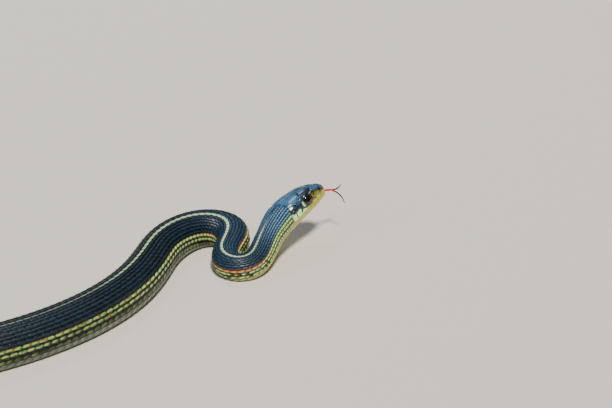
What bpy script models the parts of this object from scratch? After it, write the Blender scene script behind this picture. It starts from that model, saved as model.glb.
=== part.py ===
# A garter snake, life size, as a still model: head raised, an S bend behind the neck, the rest on the floor.
# Lengths are in millimetres along the back from the snout until meshOf() turns them into metres.
import math

import bmesh
import bpy
import numpy as np

# Size of the animal
totalLength = 650.0
nodeGap = 0.3
step = 0.25  # spacing of the samples of the spine

# Course of the body, walked from the snout to the tail tip: (distance, compass heading of the walk)
headings = [
    (0, 213), (14, 213), (22, 243), (30, 241), (40, 247), (46, 245), (63, 70), (76, 76), (86, 160), (98, 216),
    (110, 239), (124, 257), (140, 251), (160, 236), (184, 222), (214, 209), (238, 204), (288, 106), (318, 104),
    (378, 236), (402, 238), (456, 116), (480, 116), (530, 218), (552, 216), (610, 140), (650, 132),
]
headPitch = 16.0  # the head points this far above level
neckDrops = [(20, 10, -14.0), (34, 22, 30.0)]  # (from, over, change of pitch): steeper at the nape, then level
headRolls = [(0, -18), (34, -20), (40, -16), (50, 0), (650, 0)]  # the raised part leans its back to the left
rollSoften = 2.0

# Cross sections: (distance, half width, height above the axis, depth below it, squareness, share of the depth
# that is kept above the flat belly)
headSections = [
    (0.0, 2.6, 2.1, 2.6, 2.5, 0.96),
    (1.6, 2.9, 2.6, 3.0, 2.7, 0.96),
    (4.0, 3.9, 3.7, 3.8, 3.0, 0.96),
    (6.5, 4.7, 4.5, 4.4, 3.1, 0.96),
    (9.5, 5.4, 5.0, 5.0, 3.1, 0.96),
    (13.0, 6.0, 5.0, 5.7, 2.9, 0.96),
    (17.0, 6.7, 5.0, 6.2, 2.7, 0.95),
    (20.5, 6.9, 5.1, 6.4, 2.5, 0.94),
    (23.5, 6.7, 5.2, 6.6, 2.4, 0.93),
    (27.0, 6.2, 5.3, 6.4, 2.35, 0.9),
    (31.0, 5.7, 5.3, 5.9, 2.35, 0.84),
    (36.0, 5.4, 5.2, 5.4, 2.35, 0.78),
]
bodyRadii = [
    (36, 5.4), (40, 5.3), (55, 5.4), (70, 6.3), (85, 7.3), (110, 8.0), (150, 8.4), (250, 8.7), (350, 8.0),
    (450, 6.4), (495, 5.2), (510, 4.7), (580, 2.9), (650, 0.75),
]
backShare = 0.97
bellyShare = 0.78
bodySquareness = 2.35

# Head details
noseRound = 1.7
mouthLine = [
    (0, -1.2), (3, -1.6), (8, -2.3), (13, -2.7), (17, -2.9), (21, -2.9), (23.4, -2.5), (24.6, -4.0),
    (26.2, -5.6), (27, -5.7),
]
headEnd = 27.0
jawEnd = 25.6
jawInset = 0.96
jawSetBack = 0.45
eyeRadius = 2.0
eyeThick = 1.1  # half thickness of the eye, along its own axis
eyePlace = (10.2, 5.05, 0.75)  # along the head, to the side, above the axis
eyeLean = (-0.18, 1.0, 0.12)  # the way the eye looks, as parts along, aside and up
nostrilPlace = (1.8, 2.8, 0.85)
nostrilRadius = 0.42

# Head shields, as outlines of (distance from the snout, degrees round from the midline), left side
plateRise = 0.14
plateRoot = 0.4
frontal = [(6.7, -24), (6.7, 24), (9.6, 19), (12.0, 17), (14.0, 0), (12.0, -17), (9.6, -19)]
pairedPlates = [
    [(1.0, 0.8), (1.0, 42), (1.7, 52), (3.0, 50), (3.15, 0.8)],
    [(3.4, 0.8), (3.4, 50), (3.8, 63), (6.0, 63), (6.65, 50), (6.4, 27), (6.35, 0.8)],
    [(7.0, 29), (6.9, 50), (8.1, 57), (11.8, 57), (12.9, 50), (12.8, 24), (12.1, 21), (9.6, 23)],
    [
        (14.35, 0.8), (12.5, 18), (13.2, 27), (13.45, 50), (14.6, 61), (17.4, 57), (20.2, 34), (21.2, 14),
        (20.7, 0.8),
    ],
    [(1.2, 59), (1.0, 84), (3.15, 86), (3.15, 60)],
    [(3.45, 68), (3.45, 86), (5.5, 87), (5.55, 68)],
    [(5.8, 68), (5.75, 87), (7.2, 88), (7.5, 80), (7.1, 62)],
    [(12.75, 62), (12.7, 74), (13.8, 74), (13.85, 65)],
    [(12.75, 77), (12.6, 89), (13.8, 87), (13.8, 77)],
    [(14.2, 66), (14.15, 84), (16.8, 85), (17.4, 76), (16.7, 64)],
    [(17.3, 61), (17.85, 73), (20.6, 73), (20.7, 57)],
    [(17.85, 76.5), (17.4, 84), (20.6, 84), (20.7, 76)],
]
lipEdges = [1.2, 3.4, 5.8, 8.6, 12.0, 16.0, 20.0, 23.4]
lipTops = [88, 89, 91, 104, 99, 88, 87]

# Tongue: (from the snout forward, to the left, above the axis, half width, half thickness)
tongueRoot = [
    (-2.4, 0, -1.5, 0.55, 0.36), (0.2, 0.1, -1.5, 0.6, 0.38), (2.2, 0.6, -2.4, 0.6, 0.38),
    (4.0, 1.2, -3.5, 0.62, 0.36),
]
tongueLeft = [
    (3.6, 1.3, -3.3, 0.36, 0.33), (5.6, 2.3, -4.4, 0.33, 0.3), (7.6, 3.0, -4.6, 0.28, 0.27),
    (9.2, 3.4, -4.0, 0.25, 0.25),
]
tongueRight = [
    (3.6, 1.0, -3.4, 0.36, 0.33), (5.2, 0.8, -5.3, 0.33, 0.3), (5.9, 0.0, -7.6, 0.28, 0.27),
    (5.6, -1.1, -10.2, 0.25, 0.25),
]

# Lengths that the body is divided into: (name, from, to, sides round)
lengths = [
    ("neck", headEnd, 44, 24),
    ("body_01", 44, 60, 24),
    ("body_02", 60, 80, 24),
    ("body_03", 80, 104, 24),
    ("body_04", 104, 136, 24),
    ("body_05", 136, 172, 24),
    ("body_06", 172, 212, 24),
    ("body_07", 212, 252, 24),
    ("body_08", 252, 292, 24),
    ("body_09", 292, 332, 24),
    ("body_10", 332, 372, 24),
    ("body_11", 372, 412, 24),
    ("body_12", 412, 452, 24),
    ("body_13", 452, 496, 24),
    ("tail_1", 496, 542, 20),
    ("tail_2", 542, 592, 16),
    ("tail_3", 592, 650, 12),
]


def clearScene():
    for item in list(bpy.data.objects):
        bpy.data.objects.remove(item, do_unlink=True)


# A table read at the distances s, its corners rounded over a few millimetres
def softTable(s, table, column, soften):
    rows = np.array(table, float)
    reach = int(4 * soften / step)
    fine = np.arange(-reach, round(totalLength / step) + reach + 1) * step
    values = np.interp(fine, rows[:, 0], rows[:, column])
    weights = np.exp(-0.5 * (np.arange(-reach, reach + 1) * step / soften) ** 2)
    values = np.convolve(values, weights / weights.sum(), "valid")
    return np.interp(s, np.arange(len(values)) * step, values)


def smoothRise(t):
    t = np.clip(t, 0, 1)
    return t * t * (3 - 2 * t)


# Half width, height, depth, squareness and belly share at the distances s, before the nose is rounded
def sectionTable(s):
    head = [softTable(s, headSections, column, 0.8) for column in range(1, 6)]
    radius = softTable(s, bodyRadii, 1, 4.0)
    body = [radius, backShare * radius, radius, np.full_like(s, bodySquareness), np.full_like(s, bellyShare)]
    blend = smoothRise((s - 27) / 9)
    return np.array([a + (b - a) * blend for a, b in zip(head, body)])


spineSteps = np.arange(0, totalLength + step / 2, step)
sizeTable = sectionTable(spineSteps)


# The sizes of the section at distance s, shrinking to the tip of the nose
def sectionSizes(s):
    width, top, depth, square, share = (float(np.interp(s, spineSteps, row)) for row in sizeTable)
    nose = (1 - (1 - min(max(s / noseRound, 0.004), 1)) ** 2.3) ** (1 / 2.3)
    return width * nose, top * nose, depth * nose, square, share


# Centres, directions towards the tail, left sides and tops of the sections at every step
def makeSpine():
    s = spineSteps
    heading = np.radians(softTable(s, headings, 1, 4.0))
    pitch = np.full_like(s, -headPitch)
    for start, over, change in neckDrops:
        pitch += change * smoothRise((s - start) / over)
    pitch = np.radians(pitch)
    along = np.stack([np.cos(pitch) * np.cos(heading), np.cos(pitch) * np.sin(heading), np.sin(pitch)], -1)
    centre = np.zeros_like(along)
    centre[1:] = np.cumsum((along[1:] + along[:-1]) / 2 * step, 0)
    radius = softTable(s, bodyRadii, 1, 4.0)
    centre[:, 2] += bellyShare * np.where(s < 40, radius[int(40 / step)], radius) - centre[-1, 2]
    along = np.gradient(centre, axis=0)
    along /= np.linalg.norm(along, axis=1)[:, None]
    left = np.cross(along, [0, 0, 1.0])
    left /= np.linalg.norm(left, axis=1)[:, None]
    up = np.cross(left, along)
    roll = np.radians(softTable(s, headRolls, 1, rollSoften))[:, None]
    return centre, along, left * np.cos(roll) + up * np.sin(roll), up * np.cos(roll) - left * np.sin(roll)


spineCentre, spineAlong, spineLeft, spineUp = makeSpine()


# The point at distance s, aside to the left and high above the axis. Distances before the snout are allowed.
def spinePoint(s, aside, high):
    place = min(max(s, 0.0), totalLength) / step
    i = min(int(place), len(spineCentre) - 2)
    f = place - i

    def mixed(values):
        return values[i] * (1 - f) + values[i + 1] * f

    point = mixed(spineCentre) + mixed(spineLeft) * aside + mixed(spineUp) * high
    return point + mixed(spineAlong) * (s - place * step)


# Superellipse point at angle t from the back, t growing to the left
def rimPoint(sizes, t):
    width, top, depth, square, share = sizes
    x = width * math.copysign(abs(math.sin(t)) ** (2 / square), math.sin(t))
    c = math.cos(t)
    height = top if c > 0 else depth
    return x, height * math.copysign(abs(c) ** (2 / square), c)


# Angle from the back at which the rim is this deep below the axis
def rimAngle(sizes, deep):
    _, _, depth, square, _ = sizes
    return math.pi - math.acos(min(deep / depth, 0.999) ** (square / 2))


# Ring of a whole section: over the back from belly edge to belly edge, then across the flat belly
def wholeRing(s, sides):
    sizes = sectionSizes(s)
    edge = rimAngle(sizes, sizes[4] * sizes[2])
    flat = max(2, sides // 5)
    ring = [rimPoint(sizes, t) for t in np.linspace(-edge, edge, sides - flat + 1)]
    x, z = ring[-1]
    ring += [(x * (1 - 2 * k / flat), z) for k in range(1, flat)]
    return [spinePoint(s, *p) for p in ring]


def mouthHeight(s):
    return float(softTable(np.array([s]), mouthLine, 1, 0.4)[0])


# Ring of the skull: the rim down to the lips, then across the roof of the mouth
def skullRing(s):
    sizes = sectionSizes(s)
    lip = rimAngle(sizes, min(-mouthHeight(s) * min(1, s / 1.2 + 0.3), sizes[4] * sizes[2]) - nodeGap / 2)
    ring = [rimPoint(sizes, t) for t in np.linspace(-lip, lip, 27)]
    x, z = ring[-1]
    ring += [(x * (1 - 2 * k / 6), z) for k in range(1, 6)]
    return [spinePoint(s, *p) for p in ring]


# Ring of the lower jaw: across the floor of the mouth, then round under the chin
def jawRing(s):
    sizes = sectionSizes(s - jawSetBack)
    edge = rimAngle(sizes, sizes[4] * sizes[2])
    lip = rimAngle(sizes, min(-mouthHeight(s) + nodeGap / 2, 0.85 * sizes[4] * sizes[2]))
    right = [rimPoint(sizes, t) for t in np.linspace(lip, edge, 7)]
    left = [(-x, z) for x, z in reversed(right)]
    x, z = right[-1]
    chin = [(x * (1 - 2 * k / 4), z) for k in range(1, 4)]
    x, z = left[-1]
    floor = [(x * (1 - 2 * k / 6), z) for k in range(1, 6)]
    return [spinePoint(s, x * jawInset, z) for x, z in right + chin + left + floor]


# A closed mesh through rings of equal length, both ends capped
def loft(name, rings):
    mesh = bmesh.new()
    rows = [[mesh.verts.new([v / 1000 for v in p]) for p in ring] for ring in rings]
    count = len(rows[0])
    for a, b in zip(rows, rows[1:]):
        for k in range(count):
            mesh.faces.new((a[k], a[(k + 1) % count], b[(k + 1) % count], b[k]))
    mesh.faces.new(rows[0])
    mesh.faces.new(rows[-1])
    bmesh.ops.recalc_face_normals(mesh, faces=mesh.faces)
    return meshOf(name, mesh)


def meshOf(name, mesh):
    data = bpy.data.meshes.new(name)
    mesh.to_mesh(data)
    mesh.free()
    item = bpy.data.objects.new(name, data)
    bpy.context.scene.collection.objects.link(item)
    return item


def ball(name, centre, radius, detail):
    mesh = bmesh.new()
    bmesh.ops.create_icosphere(mesh, subdivisions=detail, radius=radius / 1000)
    bmesh.ops.translate(mesh, verts=mesh.verts, vec=[v / 1000 for v in centre])
    return meshOf(name, mesh)


# Cuts the tool away from the item, or joins it on, and removes the tool
def combine(item, tool, operation):
    modifier = item.modifiers.new("combine", "BOOLEAN")
    modifier.operation = operation
    modifier.solver = "EXACT"
    modifier.object = tool
    graph = bpy.context.evaluated_depsgraph_get()
    data = bpy.data.meshes.new_from_object(item.evaluated_get(graph))
    item.modifiers.clear()
    item.data = data
    data.name = item.name
    bpy.data.objects.remove(tool, do_unlink=True)


# Point on the head at distance s and angle t from the midline, raised by so much from its surface
def headPoint(s, t, raised):
    def at(s, t):
        return spinePoint(s, *rimPoint(sectionSizes(s), math.radians(t)))

    outward = np.cross(at(s, t + 1) - at(s, t - 1), at(s + 0.05, t) - at(s - 0.05, t))
    outward /= np.linalg.norm(outward)
    return at(s, t) + raised * outward


# A thin plate over an outline, following the head
def plate(outline):
    corners = np.array(outline, float)
    edge = []
    for a, b in zip(corners, np.roll(corners, -1, 0)):
        parts = max(1, round(math.hypot(b[0] - a[0], (b[1] - a[1]) * 0.08) / 1.3))
        edge += [a + (b - a) * k / parts for k in range(parts)]
    middle = corners.mean(0)
    mesh = bmesh.new()

    def ring(share, raised):
        points = [middle + (p - middle) * share for p in edge]
        return [mesh.verts.new(headPoint(s, t, raised) / 1000) for s, t in points]

    rows = [ring(1, -plateRoot), ring(1, plateRise * 0.7), ring(0.9, plateRise), ring(0.45, plateRise)]
    count = len(edge)
    for a, b in zip(rows, rows[1:]):
        for k in range(count):
            mesh.faces.new((a[k], a[(k + 1) % count], b[(k + 1) % count], b[k]))
    for row, raised in ((rows[0], -plateRoot), (rows[-1], plateRise)):
        hub = mesh.verts.new(headPoint(*middle, raised) / 1000)
        for k in range(count):
            mesh.faces.new((row[k], row[(k + 1) % count], hub))
    bmesh.ops.recalc_face_normals(mesh, faces=mesh.faces)
    return meshOf("plate", mesh)


# Outlines of the seven upper lip scales, from the lip up, left side
def lipPlates():
    outlines = []
    for a, b, lipTop in zip(lipEdges, lipEdges[1:], lipTops):
        low = [math.degrees(rimAngle(sectionSizes(s), -mouthHeight(s) - 0.3)) for s in (a, b)]
        outlines.append([(a + 0.13, lipTop), (a + 0.13, low[0]), (b - 0.13, low[1]), (b - 0.13, lipTop)])
    return outlines


def addPlates(head):
    outlines = [frontal]
    for outline in pairedPlates + lipPlates():
        outlines += [outline, [(s, -t) for s, t in reversed(outline)]]
    group = bpy.data.collections.new("plates")
    for outline in outlines:
        item = plate(outline)
        group.objects.link(item)
        bpy.context.scene.collection.objects.unlink(item)
    bpy.context.scene.collection.children.link(group)
    modifier = head.modifiers.new("plates", "BOOLEAN")
    modifier.operation = "UNION"
    modifier.solver = "EXACT"
    modifier.operand_type = "COLLECTION"
    modifier.collection = group
    graph = bpy.context.evaluated_depsgraph_get()
    head.data = bpy.data.meshes.new_from_object(head.evaluated_get(graph))
    head.modifiers.clear()
    for item in list(group.objects):
        bpy.data.objects.remove(item, do_unlink=True)
    bpy.data.collections.remove(group)


# Distances of the rings of one length: closer together where it bends
def ringPlaces(start, end):
    i, j = int(start / step), int(end / step)
    turn = np.degrees(np.linalg.norm(np.diff(spineAlong[i:j], axis=0), axis=1).sum())
    count = max(round((end - start) / 5), round(turn / 9), 3)
    return np.linspace(start, end, count + 1)


def makeLength(name, start, end, sides):
    if end == totalLength:
        places = list(ringPlaces(start + nodeGap / 2, end - 0.6)) + [end - 0.25, end - 0.05]
        rings = [wholeRing(s, sides) for s in places]
        for ring, share in zip(rings[-2:], (0.8, 0.4)):
            middle = np.mean(ring, 0)
            ring[:] = [middle + (p - middle) * share for p in ring]
        return loft(name, rings)
    places = ringPlaces(start + nodeGap / 2, end - nodeGap / 2)
    return loft(name, [wholeRing(s, sides) for s in places])


# The eye on one side, a flattened ball, made larger all round by so much
def eyeBall(name, side, grow):
    along, aside, high = eyePlace
    centre = spinePoint(along, side * aside, high)
    lean = np.array(eyeLean)
    out = spinePoint(along + lean[0], side * (aside + lean[1]), high + lean[2]) - centre
    out /= np.linalg.norm(out)
    mesh = bmesh.new()
    bmesh.ops.create_icosphere(mesh, subdivisions=3, radius=1)
    for vertex in mesh.verts:
        unit = np.array(vertex.co)
        axial = unit @ out
        point = centre + (unit - axial * out) * (eyeRadius + grow) + axial * out * (eyeThick + grow)
        vertex.co = point / 1000
    return meshOf(name, mesh)


# A tube along one arm of the tongue, its rings square to the way it runs
def tongueTube(name, course, grow):
    rows = np.array(course, float)
    places = np.linspace(0, len(rows) - 1, 3 * len(rows) - 2)
    values = np.stack([np.interp(places, range(len(rows)), column) for column in rows.T], -1)
    runs = np.gradient(values[:, :3], axis=0)
    angles = np.linspace(0, 2 * math.pi, 10, endpoint=False)
    rings = []
    for (*middle, wide, thick), run in zip(values, runs):
        run /= np.linalg.norm(run)
        aside = np.array([0, 1, 0]) - run[1] * run
        aside /= np.linalg.norm(aside)
        over = np.cross(run, aside)
        spots = [middle + (wide + grow) * math.sin(a) * aside + (thick + grow) * math.cos(a) * over for a in angles]
        rings.append([spinePoint(-forward, left, high) for forward, left, high in spots])
    return loft(name, rings)


def makeTongue():
    tongue = tongueTube("tongue", tongueRoot, 0)
    combine(tongue, tongueTube("fork", tongueLeft, 0), "UNION")
    combine(tongue, tongueTube("fork", tongueRight, 0), "UNION")
    return tongue


def makeHead():
    places = [0.0, 0.08, 0.25, 0.5, 0.85, 1.25, 1.7] + list(np.linspace(2.4, headEnd - nodeGap / 2, 31))
    head = loft("head", [skullRing(s) for s in places])
    addPlates(head)
    for side in (-1, 1):
        combine(head, eyeBall("socket", side, nodeGap), "DIFFERENCE")
        along, aside, high = nostrilPlace
        combine(head, ball("nostril", spinePoint(along, side * aside, high), nostrilRadius, 2), "DIFFERENCE")
    combine(head, tongueTube("groove", tongueRoot, nodeGap), "DIFFERENCE")
    return head


def makeLowerJaw():
    places = [jawSetBack + v for v in (0.0, 0.1, 0.3, 0.6, 1.0, 1.5, 2.1)] + list(np.linspace(3.2, jawEnd, 18))
    jaw = loft("lower_jaw", [jawRing(s) for s in places])
    combine(jaw, tongueTube("groove", tongueRoot, nodeGap), "DIFFERENCE")
    return jaw


# Moves everything so that the middle of the footprint is the origin and the lowest point is at height zero
def settle(items):
    points = np.array([v.co for item in items for v in item.data.vertices])
    low, high = points.min(0), points.max(0)
    shift = -np.array([(low[0] + high[0]) / 2, (low[1] + high[1]) / 2, low[2]])
    for item in items:
        for vertex in item.data.vertices:
            vertex.co = [a + b for a, b in zip(vertex.co, shift)]


def paint(item, name, colour, roughness):
    material = bpy.data.materials.new(name)
    material.use_nodes = True
    shader = material.node_tree.nodes["Principled BSDF"]
    shader.inputs["Base Color"].default_value = (*colour, 1)
    shader.inputs["Roughness"].default_value = roughness
    shader.inputs["Metallic"].default_value = 0
    item.data.materials.clear()
    item.data.materials.append(material)


def main():
    clearScene()
    head = makeHead()
    jaw = makeLowerJaw()
    eyes = [eyeBall(name, side, 0) for name, side in (("eye_right", -1), ("eye_left", 1))]
    tongue = makeTongue()
    body = [makeLength(*row) for row in lengths]
    settle([head, jaw, tongue] + eyes + body)
    paint(head, "head scales", (0.03, 0.05, 0.07), 0.35)
    paint(jaw, "chin scales", (0.55, 0.55, 0.3), 0.45)
    paint(tongue, "tongue", (0.6, 0.03, 0.01), 0.3)
    for eye in eyes:
        paint(eye, eye.name, (0.01, 0.006, 0.005), 0.08)
    for item in body:
        paint(item, item.name + " scales", (0.035, 0.055, 0.06), 0.4)


main()
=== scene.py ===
import math

import bpy
import numpy as np
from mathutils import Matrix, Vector


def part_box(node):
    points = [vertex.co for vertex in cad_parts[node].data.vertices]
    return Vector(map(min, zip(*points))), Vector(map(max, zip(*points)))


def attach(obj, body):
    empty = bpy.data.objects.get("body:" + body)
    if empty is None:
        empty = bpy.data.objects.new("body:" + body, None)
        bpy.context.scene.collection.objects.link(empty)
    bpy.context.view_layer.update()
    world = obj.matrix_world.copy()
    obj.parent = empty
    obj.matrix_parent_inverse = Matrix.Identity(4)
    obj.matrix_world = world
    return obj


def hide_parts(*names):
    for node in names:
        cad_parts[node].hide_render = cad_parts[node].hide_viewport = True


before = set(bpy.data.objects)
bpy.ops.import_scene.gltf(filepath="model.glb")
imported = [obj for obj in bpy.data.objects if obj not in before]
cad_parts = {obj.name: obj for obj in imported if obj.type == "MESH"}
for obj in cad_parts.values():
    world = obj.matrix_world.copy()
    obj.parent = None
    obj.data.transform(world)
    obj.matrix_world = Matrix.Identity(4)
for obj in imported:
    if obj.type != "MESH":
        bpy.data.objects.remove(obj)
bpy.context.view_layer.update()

# Lengths are in millimetres, and in metres for the stage and the camera. Distances run along the back
# from the snout, and angles are in degrees. meshOf turns millimetres into metres.
rng = np.random.default_rng(11)


def say(text):
    print("snake:", text, flush=True)


# The course of the body and its sections, the same as in the solids
course = {
    "length": 650.0,
    "headPitch": 16.0,
    "liesFrom": 40.0,  # behind this the axis is as high above the floor as the depth of the body asks
    "neckDrops": [(20, 10, -14.0), (34, 22, 30.0)],
    "headRolls": [(0, -18), (34, -20), (40, -16), (50, 0), (650, 0)],
    "headings": [
        (0, 213), (14, 213), (22, 243), (30, 241), (40, 247), (46, 245), (63, 70), (76, 76), (86, 160),
        (98, 216), (110, 239), (124, 257), (140, 251), (160, 236), (184, 222), (214, 209), (238, 204),
        (288, 106), (318, 104), (378, 236), (402, 238), (456, 116), (480, 116), (530, 218), (552, 216),
        (610, 140), (650, 132)],
    # how far the back is turned to its right round the axis, because the body is twisted a little
    "backRolls": [
        (0, -18), (20, -20), (32, -24), (42, -20), (52, 4), (62, 20), (78, 20), (94, 6), (124, -16),
        (160, -10), (200, -3), (650, 0)],
}
shape = {
    # distance, half width, height, depth, squareness, share kept above the belly
    "head": [
        (0.0, 2.6, 2.1, 2.6, 2.5, 0.96), (1.6, 2.9, 2.6, 3.0, 2.7, 0.96),
        (4.0, 3.9, 3.7, 3.8, 3.0, 0.96), (6.5, 4.7, 4.5, 4.4, 3.1, 0.96),
        (9.5, 5.4, 5.0, 5.0, 3.1, 0.96), (13.0, 6.0, 5.0, 5.7, 2.9, 0.96),
        (17.0, 6.7, 5.0, 6.2, 2.7, 0.95), (20.5, 6.9, 5.1, 6.4, 2.5, 0.94),
        (23.5, 6.7, 5.2, 6.6, 2.4, 0.93), (27.0, 6.2, 5.3, 6.4, 2.35, 0.9),
        (31.0, 5.7, 5.3, 5.9, 2.35, 0.84), (36.0, 5.4, 5.2, 5.4, 2.35, 0.78)],
    "radii": [
        (36, 5.4), (40, 5.3), (55, 5.4), (70, 6.3), (85, 7.3), (110, 8.0), (150, 8.4), (250, 8.7),
        (350, 8.0), (450, 6.4), (495, 5.2), (510, 4.7), (580, 2.9), (650, 0.75)],
    "mouth": [(0, -1.2), (3, -1.6), (8, -2.3), (13, -2.7), (17, -2.9), (21, -2.9), (24, -2.4)],
    "mouthEnd": 23.4,
    # the sections of the body: height against half width, squareness, share kept above the belly
    "bodyTop": 0.97,
    "bodySquare": 2.35,
    "bodyBelly": 0.78,
    "headBlend": (27, 9),  # where the sections of the head give way to these, and over how much
    "noseLength": 1.7,
    "noseRound": 2.3,
}
soft = {"body": 4.0, "headRolls": 2.0, "head": 0.8, "mouth": 0.4}  # how far corners of a table are rounded
step = 0.25
steps = np.arange(0, course["length"] + step / 2, step)


# A table read at the distances s, its corners rounded
def softTable(s, table, column, spread):
    rows = np.array(table, float)
    reach = int(4 * spread / step)
    fine = np.arange(-reach, len(steps) + reach) * step
    weights = np.exp(-0.5 * (np.arange(-reach, reach + 1) * step / spread) ** 2)
    values = np.convolve(np.interp(fine, rows[:, 0], rows[:, column]), weights / weights.sum(), "valid")
    return np.interp(s, steps, values)


def smooth(t):
    t = np.clip(t, 0, 1)
    return t * t * (3 - 2 * t)


# 0 up to start, rising to 1 over the next stretch
def grow(value, start, over):
    return smooth((value - start) / over)


# 0 from end on, falling from 1 over the stretch before it
def fade(value, end, over):
    return smooth((end - value) / over)


# The same arrows, each of length 1
def unit(arrows):
    return arrows / np.maximum(np.linalg.norm(arrows, axis=-1), 1e-9)[..., None]


# Centres, directions towards the tail, left sides and tops of the sections at every step
def makeSpine():
    heading = np.radians(softTable(steps, course["headings"], 1, soft["body"]))
    pitch = np.full_like(steps, -course["headPitch"])
    for start, over, change in course["neckDrops"]:
        pitch += change * grow(steps, start, over)
    pitch = np.radians(pitch)
    along = np.stack([np.cos(pitch) * np.cos(heading), np.cos(pitch) * np.sin(heading), np.sin(pitch)], -1)
    centre = np.zeros_like(along)
    centre[1:] = np.cumsum((along[1:] + along[:-1]) / 2 * step, 0)
    radius = softTable(steps, shape["radii"], 1, soft["body"])
    lying = course["liesFrom"]
    radius = np.where(steps < lying, radius[int(lying / step)], radius)
    centre[:, 2] += shape["bodyBelly"] * radius - centre[-1, 2]
    along = unit(np.gradient(centre, axis=0))
    left = unit(np.cross(along, [0, 0, 1.0]))
    up = np.cross(left, along)
    roll = np.radians(softTable(steps, course["headRolls"], 1, soft["headRolls"]))[:, None]
    return centre, along, left * np.cos(roll) + up * np.sin(roll), up * np.cos(roll) - left * np.sin(roll)


spine = makeSpine()


# Half width, height, depth, squareness and belly share at the distances s
def sizesAt(s):
    head = [softTable(s, shape["head"], column, soft["head"]) for column in range(1, 6)]
    radius = softTable(s, shape["radii"], 1, soft["body"])
    square, share = (np.full_like(s, shape[key]) for key in ("bodySquare", "bodyBelly"))
    body = [radius, shape["bodyTop"] * radius, radius, square, share]
    blend = grow(s, *shape["headBlend"])
    width, top, depth, square, share = [a + (b - a) * blend for a, b in zip(head, body)]
    power = shape["noseRound"]
    nose = (1 - (1 - np.clip(s / shape["noseLength"], 0, 1)) ** power) ** (1 / power)
    return width * nose, top * nose, depth * nose, square, share


# Points at distance s, aside to the left and high above the axis
def spinePoint(s, aside, high):
    s, aside, high = np.broadcast_arrays(np.asarray(s, float), aside, high)
    held = np.clip(s, 0, course["length"])
    parts = [np.stack([np.interp(held, steps, values[:, k]) for k in range(3)], -1) for values in spine]
    centre, along, left, up = parts
    return centre + along * (s - held)[..., None] + left * aside[..., None] + up * high[..., None]


eyePlace = np.array([10.2, 5.05, 0.75])  # along the head, to the side, above the axis
eyeLean = np.array([-0.18, 1.0, 0.12])  # the way the eye looks, in the same order


def eyeCentre(side, lean=0):
    along, aside, high = eyePlace + lean
    return spinePoint(along, side * aside, high)


def eyeAxis(side):
    return unit(eyeCentre(side, eyeLean) - eyeCentre(side))


# The eyes of the frame show where the model stands
low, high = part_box("eye_left")
lowRight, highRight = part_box("eye_right")
eyesMiddle = np.array(low + high + lowRight + highRight) * 1000 / 4
place = eyesMiddle - (eyeCentre(1) + eyeCentre(-1)) / 2
say(f"the model stands at {np.round(place, 2)}")


# The surface of the solids. Rows run along the back. Columns run round from the middle of the belly over
# the right side, the back and the left side, at equal shares of the way round. The share is 0 at the middle
# of the back, and -0.5 and 0.5 at the middle of the belly.
class Surface:
    def __init__(self, s, columns):
        self.s = s
        self.a = np.linspace(-0.5, 0.5, columns + 1)
        width, top, depth, square, share = (v[:, None] for v in sizesAt(s))
        t = np.linspace(0, math.pi, 721)[None, :]
        c = np.cos(t)
        x = width * np.abs(np.sin(t)) ** (2 / square)
        z = np.where(c > 0, top, depth) * np.sign(c) * np.abs(c) ** (2 / square)
        z = np.maximum(z, -share * depth)
        way = np.concatenate([np.zeros((len(s), 1)), np.cumsum(np.hypot(np.diff(x), np.diff(z)), 1)], 1)
        self.half = way[:, -1]
        self.way, self.angle = way, np.degrees(t[0])
        self.x, self.z, self.t = (np.empty((len(s), columns + 1)) for _ in range(3))
        for k in range(len(s)):
            where = np.abs(self.a) * 2 * way[k, -1]
            self.x[k] = np.interp(where, way[k], x[k]) * np.sign(self.a)
            self.z[k] = np.interp(where, way[k], z[k])
            self.t[k] = np.interp(where, way[k], self.angle)

    def points(self):
        return spinePoint(self.s[:, None], self.x, self.z) + place

    # Way round from the back, in mm, at distance s and angle t
    def wayTo(self, s, t):
        row = int(np.argmin(np.abs(self.s - s)))
        return np.interp(abs(t), self.angle, self.way[row]) * np.sign(t)


def normalsOf(points):
    across = np.gradient(points, axis=1)
    across[:, 0] = across[:, -1] = points[:, 1] - points[:, -2]
    return unit(np.cross(across, np.gradient(points, axis=0)))


# Gives points over the surface at any distance and share round, raised by so much
class Reader:
    def __init__(self, surface):
        self.s, self.half, self.columns = surface.s, surface.half, len(surface.a) - 1
        self.points = surface.points()
        self.normals = normalsOf(self.points)

    def at(self, s, a, raised):
        a = (a + 0.5) % 1 * self.columns
        row = np.clip(np.interp(s, self.s, np.arange(len(self.s))), 0, len(self.s) - 1.0001)
        i, j = row.astype(int), np.minimum(a.astype(int), self.columns - 1)
        f, g = (row - i)[..., None], (a - j)[..., None]

        def mixed(v):
            here = v[i, j] * (1 - f) + v[i + 1, j] * f
            beside = v[i, j + 1] * (1 - f) + v[i + 1, j + 1] * f
            return here * (1 - g) + beside * g

        return mixed(self.points) + unit(mixed(self.normals)) * np.asarray(raised)[..., None]

    def halfAt(self, s):
        return np.interp(s, self.s, self.half)


def toLinear(code):
    value = np.array([int(code[k:k + 2], 16) for k in (1, 3, 5)]) / 255
    return np.where(value <= 0.04045, value / 12.92, ((value + 0.055) / 1.055) ** 2.4)


# The colours of a dictionary, as linear values
def linearPaints(look):
    codes = {key: value for key, value in look.items() if isinstance(value, str) and value[0] == "#"}
    return {key: toLinear(value) for key, value in codes.items()}


def mix(a, b, share):
    share = np.clip(np.asarray(share, float), 0, 1)[..., None]
    return a * (1 - share) + b * share


# Soft random values between about -1 and 1 over points, from sums of waves
def waves(points, size, seed):
    values = np.zeros(points.shape[:-1])
    source = np.random.default_rng(seed)
    for _ in range(12):
        direction = unit(source.normal(size=3))
        length = size * source.uniform(0.7, 1.5)
        values += np.sin(points @ direction * 2 * math.pi / length + source.uniform(0, 2 * math.pi))
    return values / 3.4


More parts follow.
